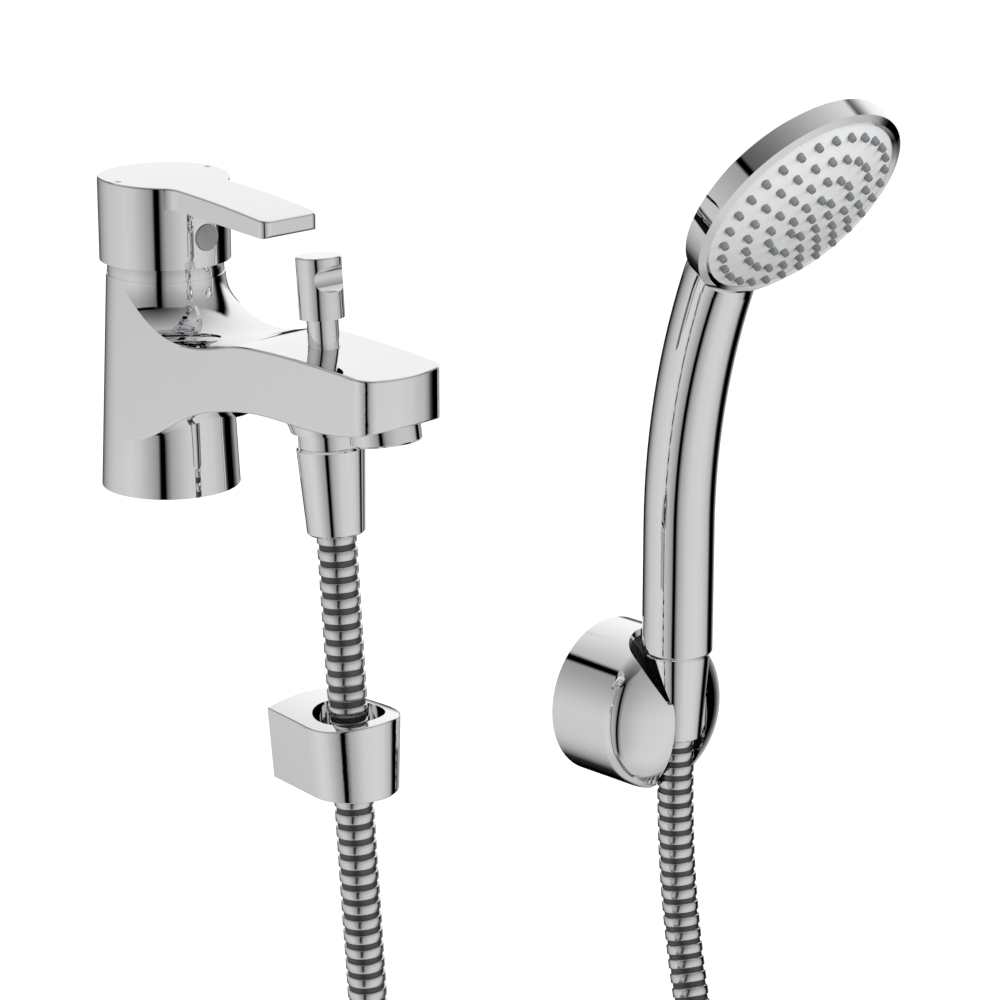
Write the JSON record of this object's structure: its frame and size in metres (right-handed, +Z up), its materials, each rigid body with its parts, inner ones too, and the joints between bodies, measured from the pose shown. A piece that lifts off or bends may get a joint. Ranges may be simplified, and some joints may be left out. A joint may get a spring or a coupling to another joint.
{
  "type": "bath shower mixer",
  "caption": "Deck-mounted single-lever bath mixer with pull-up shower diverter, ribbed hose led through a wall retainer, and round-head handset held in a wall bracket.",
  "frame": {"origin": "centre of the mixer's base, on the deck", "axes": "+Z up from the deck, the spout points to -Y, the handset's bracket is towards +X; the wall pieces' back faces are in the plane y = -0.069"},
  "size_m": [0.2232, 0.2136, 0.5317],
  "materials": {
    "chrome": "polished chrome plate",
    "chromed_plastic": "chrome plate on plastic",
    "brass": "machined",
    "ceramic": "lapped ceramic",
    "rubber": "matt",
    "inner_plastic": "moulded",
    "black_plastic": "satin",
    "white_plastic": "satin",
    "grey_silicone": "matt",
    "grey_plastic": "satin",
    "red_enamel": "gloss",
    "blue_enamel": "gloss",
    "steel": "machined",
    "hose_metal": "bright interlocked strip"
  },
  "bodies": {
    "mixer": {"aerator_insert": "inner_plastic", "aerator_ring": "chrome", "aerator_washer": "rubber", "bracket_base": "black_plastic", "bracket_liner": "black_plastic", "bracket_screws": "steel", "bracket_shell": "chromed_plastic", "cartridge_base_seal": "rubber", "cartridge_body": "inner_plastic", "cartridge_nut": "brass", "ceramic_disc_fixed": "ceramic", "check_valve": "inner_plastic", "coil_tie": "black_plastic", "diverter_guide": "brass", "diverter_seat": "brass", "dome_ring": "chrome", "hose_coil": "hose_metal", "hose_from_tap": "hose_metal", "hose_to_handset": "hose_metal", "mixer_body": "chrome", "retainer_body": "chromed_plastic", "retainer_plate": "black_plastic", "retainer_screws": "steel", "shower_outlet": "chrome", "tap_hose_ferrule": "chrome", "tap_hose_nut": "chrome", "tap_hose_washer": "rubber", "temperature_stop_ring": "inner_plastic"},
    "temperature_carrier": {"spindle_housing": "inner_plastic", "spindle_pin": "steel"},
    "lever_arm": {"lever": "chrome", "cartridge_spindle": "steel", "lever_set_screw": "steel", "index_plug": "grey_plastic", "hot_mark": "red_enamel", "cold_mark": "blue_enamel"},
    "moving_disc": {"ceramic_disc_moving": "ceramic", "disc_carrier": "inner_plastic"},
    "diverter": {"diverter_knob": "chrome", "diverter_spindle": "steel", "diverter_valve": "brass", "diverter_washer": "rubber"},
    "handset_hose_end": {"handset_cone_nut": "chromed_plastic", "handset_washer": "rubber", "handset_ferrule": "chrome"},
    "handset": {"handset_body": "chromed_plastic", "handset_waterway": "inner_plastic", "face_ring": "chromed_plastic", "spray_plate": "white_plastic", "nozzle_mat": "grey_silicone", "flow_plate": "inner_plastic"}
  },
  "joints": [
    {"name": "lever_turn", "type": "hinge", "parent": "mixer", "child": "temperature_carrier", "pos_m": [0, 0, 0.078], "axis": [0, 0, 1], "range_deg": [-45, 45]},
    {"name": "lever_lift", "type": "hinge", "parent": "temperature_carrier", "child": "lever_arm", "pos_m": [0, 0, 0.078], "axis": [-1, 0, 0], "range_deg": [0, 20]},
    {"name": "disc_slide", "type": "slide", "parent": "temperature_carrier", "child": "moving_disc", "axis": [0, -1, 0], "range_m": [0, 0.0035]},
    {"name": "diverter_pull", "type": "slide", "parent": "mixer", "child": "diverter", "axis": [0, 0.076, 0.9971], "range_m": [0, 0.007]},
    {"name": "handset_lift", "type": "slide", "parent": "mixer", "child": "handset_hose_end", "axis": [0, 0, 1], "range_m": [0, 0.06]},
    {"name": "handset_turn", "type": "hinge", "parent": "handset_hose_end", "child": "handset", "pos_m": [0.1578, -0.1053, -0.0773], "axis": [0, 0, 1], "range_deg": [-60, 60]}
  ],
  "couplings": [
    {"joint": "disc_slide", "follows": "lever_lift", "m_per_rad": 0.009749}
  ]
}
